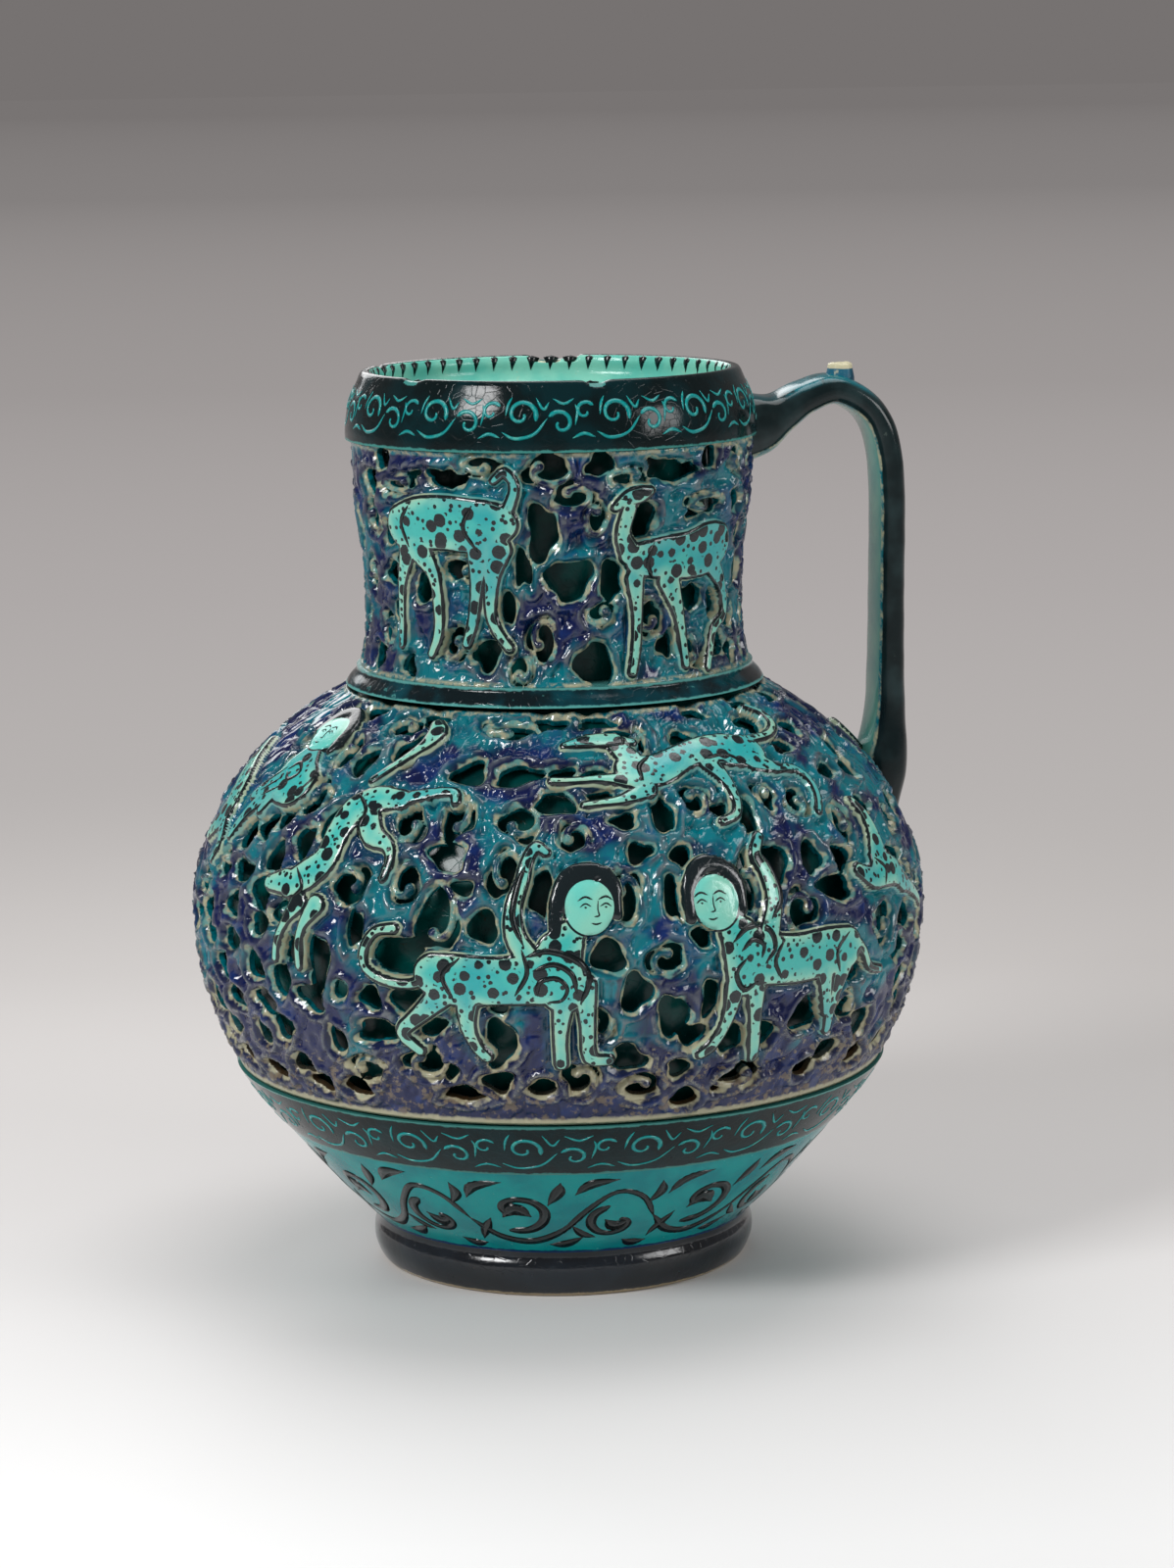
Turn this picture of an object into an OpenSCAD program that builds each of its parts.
// Pierced double-walled ceramic jug: an openwork outer shell stands a few millimetres off a plain inner
// vessel that holds the drink. Axis on Z, foot on the ground at Z = 0, handle towards +X.

/* [Heights] */
// Height of the foot ring
foot_h = 10.5; // [8:0.5:14]
// Height of the plain lower bowl above the foot
bowl_h = 23.5; // [18:0.5:30]
// Height of the dark band under the openwork
band_h = 13; // [9:0.5:16]
// Height of the belly openwork
belly_h = 86; // [76:1:96]
// Height of the collar ring between belly and neck
collar_h = 4; // [3:0.5:6]
// Height of the neck openwork
neck_h = 51; // [44:1:60]
// Height of the rim band
rim_h = 15; // [12:0.5:20]

/* [Radii] */
// Radius of the belly at its widest
body_r = 84; // [78:1:92]
// Height of the widest place above the lower edge of the openwork
waist_rise = 35; // [30:1:42]
// Radius of the neck at its narrowest
neck_r = 43.2; // [40:0.2:46]
// Radius of the foot at its widest
foot_r = 43.8; // [40:0.2:48]
// Radius of the outside of the lip
lip_r = 42.7; // [41:0.1:45]

/* [Walls] */
// Thickness of the outer shell
shell_t = 3.5; // [3:0.1:4.5]
// Gap between the outer shell and the inner vessel
cavity = 4.5; // [3:0.1:5.5]
// Thickness of the inner vessel
inner_t = 3; // [2.5:0.1:4]
// Thickness of the lower bowl's floor
floor_t = 4.5; // [3.5:0.1:6]
// Thickness of the lip at its edge
lip_t = 3; // [2.4:0.1:4]
// Width of the foot ring's resting face
foot_t = 6.5; // [5:0.1:8]

/* [Handle] */
// How far the outside of the grip stands in from the widest place of the body
handle_inset = 5; // [2:0.5:10]
// Thickness of the strap
strap_t = 6.5; // [5:0.1:8]
// Width of the strap
strap_w = 17; // [13:0.5:20]
// Drop from the lip to the top of the strap
crest_drop = 4.5; // [3:0.5:8]
// Drop from the lip to the middle of the upper root
root_drop = 15; // [13:0.5:18]
// How much the strap's ends spread where they are pressed on
root_spread = 2.5; // [1:0.1:4]
// Radius of the thumb knob
knob_r = 3.4; // [2.6:0.1:4.2]
// Height of the thumb knob
knob_h = 4; // [3:0.5:7]

/* [Hidden] */

// Levels, from the ground up
bowl_z = foot_h;
band_z = bowl_z + bowl_h;
belly_z = band_z + band_h;
collar_z = belly_z + belly_h;
neck_z = collar_z + collar_h;
rim_z = neck_z + neck_h;
jug_h = rim_z + rim_h;
waist_z = belly_z + waist_rise;

round_sides = 96;
cut_over = 2;

// The belly is two quarter ellipses that meet at its widest place. The shares say how far each would
// reach before it closed on the axis, as multiples of the distance that it covers.
upper_reach_share = 1.21;
lower_reach_share = 1.555;
upper_reach = upper_reach_share * (collar_z - waist_z);
lower_reach = lower_reach_share * (waist_z - band_z);

function belly_r(z) =
    let (reach = z > waist_z ? upper_reach : lower_reach)
    body_r * sqrt(1 - pow((z - waist_z) / reach, 2));

// Neck and rim outlines: [share of the height, share of the neck's narrowest radius]
neck_shares = [[0, 1.037], [0.08, 1.016], [0.25, 1], [0.5, 1.014], [0.75, 1.053], [1, 1.07]];
function neck_out(share) = neck_r * lookup(share, neck_shares);
rim_swell_share = 0.53;

// Turned outlines: the belly at an even step, the neck at its own points
belly_steps = 12;
belly_outline = [for (i = [0:belly_steps]) let (z = belly_z + belly_h * i / belly_steps) [belly_r(z), z]];
neck_outline = [for (s = neck_shares) [neck_out(s[0]), neck_z + neck_h * s[0]]];

// Unit normal of a profile, outwards, at point i
function along(p, i) = p[min(i + 1, len(p) - 1)] - p[max(i - 1, 0)];
function outward(p, i) = let (d = along(p, i)) [d[1], -d[0]] / norm(d);
// A profile moved inwards, its ends kept at their heights
function inset(p, depth) = [
    for (i = [0:len(p) - 1])
        let (q = p[i] - depth * outward(p, i), end = i == 0 || i == len(p) - 1)
        end ? [p[i][0] - depth / outward(p, i)[0], p[i][1]] : q
];
function reversed(p) = [for (i = [len(p) - 1:-1:0]) p[i]];

// Turned wall between two profiles
module turned(outer, inner) {
    rotate_extrude($fn = round_sides)
        polygon(concat(outer, reversed(inner)));
}

// Running length of a profile at each of its points, with the height there
function running(p, i = 0, run = 0) =
    i == len(p) - 1 ? [[run, i]] : concat([[run, i]], running(p, i + 1, run + norm(p[i + 1] - p[i])));
// Point and outward direction at a share of the profile's length
function at_share(p, share) =
    let (run = running(p), step = lookup(share * run[len(run) - 1][0], run),
         i = min(floor(step), len(p) - 2), part = step - i)
    [p[i] * (1 - part) + p[i + 1] * part, outward([p[i], p[i + 1]], 0)];

// The pattern's middle, from the handle, and how often the pattern goes round
front_turn = -100;
pattern_turns = 2;

// One pierced hole: an eight-sided cutter, square to the wall.
// hole = [azimuth, place up the panel, width in degrees, height, tilt], heights in parts of the panel
hole_sides = 8;
hole_turn = 180 / hole_sides;
module hole_cutter(outline, hole, parts, depth) {
    spot = at_share(outline, hole[1] / parts);
    run = running(outline);
    wide = spot[0][0] * hole[2] * PI / 180;
    tall = run[len(run) - 1][0] * hole[3] / parts;
    tilt = len(hole) > 4 ? hole[4] : 0;
    grow = 1 / cos(hole_turn);
    outline_2d = [
        for (k = [0:hole_sides - 1])
            let (a = hole_turn + 360 * k / hole_sides)
            [sin(a) * wide / 2 * grow, cos(a) * tall / 2 * grow]
    ];
    rotate([0, 0, front_turn + hole[0]])
        translate([spot[0][0], 0, spot[0][1]])
            rotate([0, -atan2(spot[1][1], spot[1][0]), 0])
                rotate([90, 0, 90])
                    translate([0, 0, -depth])
                        linear_extrude(height = depth + cut_over)
                            rotate([0, 0, tilt])
                                polygon(outline_2d);
}

module pierced(outline, holes, parts, depth) {
    difference() {
        turned(outline, inset(outline, depth));
        for (turn = [0:pattern_turns - 1], hole = holes)
            rotate([0, 0, 360 * turn / pattern_turns])
                hole_cutter(outline, hole, parts, depth + cut_over);
    }
}

// Belly openwork, heights in 104ths of the panel: scrolls low down, two seated sphinxes in the middle,
// running beasts and a winged woman above. The holes are the gaps round these figures.
belly_parts_share = 104;
low_scroll_shares = [
    [-84, 8, 6, 5], [-78, 17, 6, 5], [-71, 9.6, 6, 5], [-70.5, 20.5, 7, 5], [-64, 8, 4.6, 3.4],
    [-65, 15.8, 5, 3.4], [-60.5, 23.6, 5, 3.2], [-54.6, 6.6, 4.8, 2.6], [-54, 16.5, 3, 4.2],
    [-51.6, 24.8, 4.6, 3.4, -20], [-48, 19.4, 3.8, 4.4], [-45.6, 10.6, 3.6, 4], [-42.4, 6.3, 3.2, 3.2],
    [-36.2, 18.8, 1.8, 4.4], [-34.8, 6.8, 4.5, 2.9], [-31.6, 12.6, 5.2, 4.7], [-28.4, 22.3, 6, 4.1],
    [-21, 15.5, 5.1, 6], [-17.2, 13.4, 1.7, 2.8], [-15.3, 7.6, 4.6, 2], [-9.5, 11.2, 4, 4],
    [-8.8, 21.3, 3.9, 9.8], [-2.5, 9.8, 3, 2.5], [3.4, 12.2, 4.3, 6.5], [10.8, 17, 4.5, 5.3],
    [12.9, 9.4, 5.2, 4.8], [19.2, 13.6, 2.5, 2.7], [20.8, 5.2, 3.7, 3.2], [20.8, 21.4, 3.4, 4.6],
    [27.3, 19.8, 3.6, 6], [29.8, 9.4, 7.1, 4.4, 25], [33.5, 19.8, 2, 3.5], [41, 22.4, 5, 5.2],
    [43.6, 8.2, 3, 3.2], [48, 11.8, 3.8, 3.6], [50.6, 22.2, 4.2, 5.2], [56, 16.8, 4, 4.8],
    [57.6, 7.8, 4.8, 3.4], [66.4, 9.4, 4.4, 3.2], [68, 23.6, 4, 4.6], [70, 17.6, 4, 3.4],
    [75, 7, 5, 3.6], [79, 14, 6, 5], [76, 25, 5, 4.4], [86, 22, 5, 6], [87, 10, 4, 5]
];
sphinx_row_shares = [
    [-86, 46, 5, 6], [-85, 33, 4, 6], [-78, 28, 6, 5], [-78, 38.5, 6.5, 4], [-74, 47, 6, 4],
    [-70, 42, 5, 5], [-68.5, 36.4, 4, 3], [-66.2, 53.6, 4, 5], [-64, 30.4, 4, 4.4], [-60, 37.4, 4.2, 3.2],
    [-60.3, 45.6, 4, 4.6], [-59, 53.6, 4.4, 3.6], [-53, 33, 3.4, 5.4], [-52.8, 50, 4.2, 6],
    [-52, 42.8, 3.2, 3.6], [-46.6, 46, 4.2, 4.6], [-46.5, 31.2, 2.6, 5.6], [-43.8, 38.6, 2.6, 4.6],
    [-40.6, 28.2, 4.6, 3.8, -15], [-38.6, 36.8, 3.6, 10.5], [-34.4, 31.2, 1.4, 2.5],
    [-33.8, 55.2, 5.6, 6.5], [-31.8, 45.6, 1.8, 6.7], [-29.1, 30.2, 2.6, 3.7], [-24.2, 40, 7.5, 9],
    [-23.8, 56.5, 3.7, 7], [-22.2, 30.8, 5.5, 8.3], [-19.2, 24.8, 3.7, 3.4], [-18.1, 49, 5.2, 13],
    [-14.5, 56.2, 2.6, 2.3], [-14.5, 29.5, 1.6, 5], [-11, 47.7, 4, 5.5], [-8.5, 30.8, 3, 2.4],
    [-7.8, 59.5, 3.8, 9], [-2.4, 55.4, 3.2, 9], [6.2, 25.6, 3.1, 6.7], [7.7, 41, 4, 6],
    [10.8, 54.4, 3.5, 9.3], [11.8, 32.5, 3.5, 7], [16.4, 39.6, 4.2, 5.3], [17.5, 26.5, 3.5, 9],
    [18.3, 53, 2.3, 8], [22.1, 44.2, 2.7, 3.5], [23.4, 29.8, 2, 6.5], [30.9, 54.2, 4, 11.7],
    [37, 58.5, 4, 8], [40.4, 47, 5, 7], [48.4, 50.4, 7, 3.8, -8], [51.8, 56.4, 3.6, 4.6],
    [51.4, 31.6, 2.4, 6.4, 20], [59.6, 39.4, 4.4, 7.6], [66.4, 31.8, 3.4, 4], [68.6, 38.6, 6, 4.4],
    [68.4, 52.4, 4.6, 4], [73, 47, 4.4, 4.4], [77, 34, 5, 6], [78, 43, 5, 5], [84, 50, 4, 5],
    [86, 38, 4, 7]
];
runner_row_shares = [
    [-62, 61.8, 3.8, 6], [-57.2, 65, 4, 4.6], [-53, 68.6, 3, 4.8], [-51.4, 58.6, 3, 5.6],
    [-45.6, 63.4, 2.6, 6.4], [-47.8, 74.4, 4.4, 7.4], [-41, 68.5, 2.6, 7], [-62.8, 80.2, 4, 6],
    [-47.8, 86.8, 3.6, 8.4], [-41.8, 85.4, 3.4, 6.2], [-65, 89.4, 3.2, 6.4], [-63.4, 98.4, 5, 3.4],
    [-52.4, 100.6, 5.4, 3.6], [-37.8, 97.4, 6.5, 5], [-32.2, 90.4, 4.5, 9], [-31.6, 101, 5.5, 3.2],
    [-25.4, 70.3, 4.7, 7.4], [-17.6, 63.5, 5.3, 5], [-17, 72.8, 4, 9.5], [-17, 84.8, 6, 5.5],
    [-11.5, 98.5, 11, 3.4, -15], [-7, 84.4, 7.6, 4.6, 18], [-6, 71.8, 5.6, 6.6], [-0.5, 101, 7, 2.6],
    [0.2, 77, 6.4, 4.6], [1.6, 84.8, 3.6, 2.4], [3.1, 68.2, 3.9, 5.2], [8.2, 84, 4.6, 2.2],
    [8.4, 78, 3.6, 2.2], [10.9, 101, 8.2, 2.8], [11.8, 71.8, 3.4, 2.8], [13.9, 64.2, 2.4, 3.2],
    [14.6, 96.2, 7, 2.4], [18.9, 93.4, 2.6, 7.4], [19, 73.4, 2.8, 8.6], [20.6, 62.4, 2.6, 3.2],
    [25.8, 76, 4.2, 5.8], [29.8, 93.2, 5, 4], [30.2, 72.8, 2, 3], [34.8, 71, 1.8, 9],
    [38, 101, 5, 2.8], [40.4, 74.2, 3, 6.4], [45, 58.2, 3.4, 5.6], [47, 71.2, 4, 5.4, 20],
    [51.6, 95, 6.4, 4.6, 25], [54.2, 86.4, 4, 2.6, 10], [55.4, 64.4, 3, 7], [56, 101, 6, 2.8],
    [61.6, 77, 3.6, 2.6], [63.4, 90.4, 4.4, 4.2], [65.4, 66.2, 3, 3.6], [69.6, 75.4, 4, 4],
    [71.8, 82.4, 2.6, 5.4], [74, 101, 6, 2.8], [80, 63, 5, 5], [73, 60, 4, 6], [84, 93, 3, 6],
    [84.5, 80, 3.4, 6], [89.5, 70, 3, 8]
];

// Neck openwork, heights in 51sts of the panel: spotted beasts between scrolls
neck_parts_share = 51;
neck_hole_shares = [
    [-86, 4.5, 6, 4.4], [-86, 22, 6, 6], [-78, 12, 7, 6], [-78, 32, 6, 8], [-70, 22, 6, 6],
    [-66, 4.4, 6, 4], [-64.4, 34.6, 6, 5.6], [-63.5, 43, 6, 4.4], [-60, 10.6, 5, 5.4],
    [-57, 22.8, 5.6, 3], [-56.4, 48.4, 5.6, 2.8], [-55.8, 31.6, 3.6, 3.8], [-53.6, 15, 4.2, 4.6],
    [-50, 25.2, 7, 2, -4], [-48.6, 3.6, 5, 2.8], [-48.6, 43.4, 14, 2.6, 12], [-41, 20.4, 7.6, 4.6],
    [-31, 8.8, 6.4, 5.4], [-31, 45, 10, 2.4, -4], [-28, 25.4, 9.5, 4.4], [-20.4, 7, 7.6, 4.8],
    [-20, 48, 9, 3.4], [-14, 16.8, 4.8, 5.2], [-9.4, 3.8, 4.8, 5], [-8.6, 25.6, 3.2, 6.6],
    [-3.2, 10.4, 6.4, 7], [-2.6, 33.4, 7.2, 10.4], [-1, 47, 11, 5.6], [5.4, 23, 11.6, 7.6],
    [6.4, 41.4, 9, 4.4], [12.2, 4.8, 10, 7], [12.6, 36.6, 4.6, 6], [14.4, 48, 6, 3.4],
    [14.8, 15.4, 6.4, 3.4], [19, 22.6, 7.4, 7.4], [22.6, 45, 9, 2.8], [26.2, 35.6, 8.4, 7],
    [30.6, 14, 6, 6], [36.4, 8, 3.6, 3.6], [36.6, 46, 15, 3.2, -8], [46, 5.6, 4.6, 5.4],
    [46, 17.6, 8.6, 3.6], [50, 37.6, 14, 3.2, 6], [51.6, 48, 4.6, 3], [57, 16, 4.6, 4],
    [59, 6.6, 6, 5], [66, 46.8, 5, 4.6], [67.4, 37.4, 6, 3.4], [68, 12.6, 5, 6], [66.6, 4, 4, 3],
    [72, 30, 5, 3.6], [74, 22, 5, 7], [77, 4.2, 5, 3.8], [79, 46.6, 7, 3.4], [81, 37, 5, 5],
    [82, 12.6, 6, 6], [86.6, 29, 4.6, 7]
];

// Foot: a rolled ring. Its outline is in shares of the foot's height and radius.
foot_shares = [[0, 0.948], [0.28, 0.988], [0.48, 1], [0.81, 0.99], [1, 0.986]];
foot_top_r = foot_r * foot_shares[len(foot_shares) - 1][1];
foot_base_r = foot_r * foot_shares[0][1];
// How much of the resting face's width the foot keeps at its top, inside
foot_top_share = 0.8;
module foot_ring() {
    color([0.05, 0.1, 0.11])
        rotate_extrude($fn = round_sides)
            polygon(concat(
                [for (s = foot_shares) [foot_r * s[1], foot_h * s[0]]],
                [[foot_base_r - foot_t * foot_top_share, foot_h], [foot_base_r - foot_t, 0]]
            ));
}

// Lower bowl: the closed bottom of the outer body, rising from the foot to the band
bowl_flare_share = 0.4;
bowl_flare_lift_share = 0.02;
band_bottom_r = belly_r(band_z);
band_top_r = belly_r(belly_z);
bowl_mid = [
    foot_top_r + (band_bottom_r - foot_top_r) * (bowl_flare_share - bowl_flare_lift_share),
    bowl_z + bowl_h * bowl_flare_share
];
bowl_outline = [[foot_top_r, bowl_z], bowl_mid, [band_bottom_r, band_z]];
bowl_inside = inset(bowl_outline, shell_t);
// Radius of the inside at the top of the floor
floor_r = lookup(bowl_z + floor_t, [for (p = bowl_inside) [p[1], p[0]]]);
module lower_bowl() {
    color([0, 0.55, 0.55])
        rotate_extrude($fn = round_sides)
            polygon(concat(
                [[0, bowl_z]], bowl_outline,
                [bowl_inside[2], bowl_inside[1], [floor_r, bowl_z + floor_t], [0, bowl_z + floor_t]]
            ));
}

// Dark band between the lower bowl and the openwork
band_steps = 3;
band_outline = [for (i = [0:band_steps]) let (z = band_z + band_h * i / band_steps) [belly_r(z), z]];
module lower_band() {
    color([0.06, 0.12, 0.13])
        turned(
            band_outline,
            concat(
                [bowl_inside[2]],
                [for (i = [1:band_steps - 1]) inset(band_outline, shell_t)[i]],
                [inset(belly_outline, shell_t)[0]]
            )
        );
}

module belly_openwork() {
    color([0.2, 0.45, 0.6])
        pierced(belly_outline, concat(low_scroll_shares, sphinx_row_shares, runner_row_shares),
                belly_parts_share, shell_t);
}

module neck_openwork() {
    color([0.25, 0.5, 0.6])
        pierced(neck_outline, neck_hole_shares, neck_parts_share, shell_t);
}

// Inner vessel: follows the shell at the cavity's distance, in three thrown parts
inner_depth = shell_t + cavity;
inner_split_z = waist_z;
lower_steps = 6;
upper_steps = 6;
function vessel_r(z) = belly_r(z) - inner_depth;
inner_seat_z = bowl_z + floor_t;
inner_neck_r = neck_r - inner_depth;
// The bowl part stands on the lower bowl's floor with a rounded-up base
base_rise = inner_t;
base_r = floor_r - cavity;
function inner_low(depth) = [
    for (i = [1:lower_steps])
        let (z = band_z + (inner_split_z - band_z) * i / lower_steps) [vessel_r(z) - depth, z]
];
module inner_bowl() {
    color([0, 0.35, 0.35])
        rotate_extrude($fn = round_sides)
            polygon(concat(
                [[0, inner_seat_z], [base_r, inner_seat_z]], inner_low(0),
                reversed(inner_low(inner_t)),
                [[base_r - inner_t, inner_seat_z + base_rise], [0, inner_seat_z + base_rise]]
            ));
}

function inner_high(depth) = [
    for (i = [0:upper_steps])
        let (z = inner_split_z + (collar_z - inner_split_z) * i / upper_steps,
             r = belly_r(z), edge = i == upper_steps)
        [edge ? inner_neck_r - depth : max(r - inner_depth - depth, inner_neck_r - depth), z]
];
module inner_shoulder() {
    color([0, 0.38, 0.38])
        turned(inner_high(0), inner_high(inner_t));
}

module inner_neck() {
    color([0.05, 0.4, 0.4])
        translate([0, 0, neck_z])
            difference() {
                cylinder(h = neck_h, r = inner_neck_r, $fn = round_sides);
                translate([0, 0, -cut_over])
                    cylinder(h = neck_h + 2 * cut_over, r = inner_neck_r - inner_t, $fn = round_sides);
            }
}

// Collar ring: ties the top of the shoulder and the bottom of the neck, outer wall to inner wall
module collar_ring() {
    color([0.07, 0.13, 0.14])
        rotate_extrude($fn = round_sides)
            polygon([
                [inner_neck_r - inner_t, collar_z], [belly_r(collar_z), collar_z],
                [neck_out(0), neck_z], [inner_neck_r - inner_t, neck_z]
            ]);
}

// Rim band: closes the gap between the walls and thins to the lip
rim_top_r = neck_out(1);
// How much of the rim's narrowing is done at its swell, and how high the throat's step lies
rim_fall_share = 0.31;
rim_throat_share = 0.3;
module rim_band() {
    color([0.04, 0.1, 0.11])
        rotate_extrude($fn = round_sides)
            polygon([
                [inner_neck_r - inner_t, rim_z], [rim_top_r, rim_z],
                [lip_r + (rim_top_r - lip_r) * (1 - rim_fall_share), rim_z + rim_h * rim_swell_share],
                [lip_r, jug_h], [lip_r - lip_t, jug_h],
                [inner_neck_r - inner_t + rim_throat_share * lip_t, rim_z + rim_h * rim_throat_share]
            ]);
}

// Handle: a flat strap swept along one curve from the rim's foot, over a crest and down to the shoulder.
// Where the lower end lands, as a share of the rise from the widest place to the collar
landing_share = 0.49;
grip_low_share = 0.22;
crest_share = 0.62;
root_dip_share = 0.5;
strap_mid_x = body_r - handle_inset - strap_t / 2;
crest_z = jug_h - crest_drop - strap_t / 2;
root_z = jug_h - root_drop;
landing_z = waist_z + (collar_z - waist_z) * landing_share;
grip_low_z = landing_z + (root_z - landing_z) * grip_low_share;
root_x = neck_out(1);
over_x = root_x + (strap_mid_x - root_x) * crest_share;
landing_r = belly_r(landing_z);
strap_guide = [
    [root_x - strap_t, root_z - strap_t * root_dip_share], [root_x + strap_t, root_z + strap_t * root_dip_share],
    [over_x, crest_z], [strap_mid_x, root_z - strap_t], [strap_mid_x, (grip_low_z + root_z) / 2],
    [strap_mid_x, grip_low_z], [landing_r, landing_z], [landing_r - strap_t * root_dip_share, landing_z - 2 * strap_t]
];

// Smooth curve through the guide points, from the second to the last but one
guide_steps = 6;
function between(a, b, c, d, t) =
    (2 * b + (c - a) * t + (2 * a - 5 * b + 4 * c - d) * t * t + (3 * b - a - 3 * c + d) * t * t * t) / 2;
strap_path = concat(
    [strap_guide[0]],
    [for (i = [1:len(strap_guide) - 3], k = [0:guide_steps - 1])
        between(strap_guide[i - 1], strap_guide[i], strap_guide[i + 1], strap_guide[i + 2], k / guide_steps)],
    [strap_guide[len(strap_guide) - 2], strap_guide[len(strap_guide) - 1]]
);
strap_last = len(strap_path) - 1;
// The ends of the strap, which are the two roots, in steps of the path, and the stretch that spreads
upper_root_steps = 2;
lower_root_steps = 5;
spread_steps = 8;
// How much more the strap thickens than it widens at a root
root_depth_share = 1.2;

// Strap section: an oval-cornered bar, spread towards the roots
section_sides = 16;
section_power = 0.6;
function corner(v) = sign(v) * pow(abs(v), section_power);
function spread(i) =
    let (near = max(0, 1 - min(i, strap_last - i) / spread_steps))
    root_spread * near;
function strap_ring(i) =
    let (d = along(strap_path, i) / norm(along(strap_path, i)), side = [d[1], -d[0]], more = spread(i))
    [for (k = [0:section_sides - 1])
        let (a = 360 * k / section_sides, off = side * corner(cos(a)) * (strap_t / 2 + more * root_depth_share))
        [strap_path[i][0] + off[0], corner(sin(a)) * (strap_w / 2 + more), strap_path[i][1] + off[1]]];
module strap(first, last) {
    rings = last - first;
    polyhedron(
        points = [for (i = [first:last]) each strap_ring(i)],
        faces = concat(
            [[for (k = [0:section_sides - 1]) k]],
            [for (i = [0:rings - 1], k = [0:section_sides - 1])
                let (a = i * section_sides + k, b = i * section_sides + (k + 1) % section_sides)
                each [[a, b + section_sides, b], [a, a + section_sides, b + section_sides]]],
            [[for (k = [section_sides - 1:-1:0]) rings * section_sides + k]]
        )
    );
}

module handle() {
    color([0.1, 0.2, 0.2])
        strap(upper_root_steps, strap_last - lower_root_steps);
}

// Everything inside the outer surface of the neck and rim, to seat the upper root on
module neck_core() {
    rotate_extrude($fn = round_sides)
        polygon(concat(
            [[0, neck_z]], neck_outline,
            [[lip_r + (rim_top_r - lip_r) * (1 - rim_fall_share), rim_z + rim_h * rim_swell_share],
             [lip_r, jug_h], [0, jug_h]]
        ));
}
module handle_root_upper() {
    color([0.12, 0.25, 0.24])
        difference() {
            strap(0, upper_root_steps);
            neck_core();
        }
}

module belly_core() {
    rotate_extrude($fn = round_sides)
        polygon(concat([[0, belly_z]], belly_outline, [[0, collar_z]]));
}
module handle_root_lower() {
    color([0.12, 0.25, 0.24])
        difference() {
            strap(strap_last - lower_root_steps, strap_last);
            belly_core();
        }
}

// Thumb knob: the stub of a finial on the crest of the strap
knob_set_share = 0.6;
knob_waist_share = 0.9;
knob_top_share = 0.96;
knob_x = over_x + knob_r * knob_set_share;
knob_sides = 32;
// Height of the knob's top above the middle of the strap
knob_top_z = strap_t / 2 + knob_h;
module thumb_knob() {
    color([0.75, 0.75, 0.6])
        difference() {
            translate([knob_x, 0, crest_z])
                rotate_extrude($fn = knob_sides)
                    polygon([[0, 0], [knob_r, 0], [knob_r * knob_waist_share, knob_top_z - knob_h / 2],
                             [knob_r * knob_top_share, knob_top_z], [0, knob_top_z]]);
            strap(upper_root_steps, strap_last - lower_root_steps);
        }
}

foot_ring();
lower_bowl();
lower_band();
belly_openwork();
collar_ring();
neck_openwork();
rim_band();
inner_bowl();
inner_shoulder();
inner_neck();
handle();
handle_root_upper();
handle_root_lower();
thumb_knob();
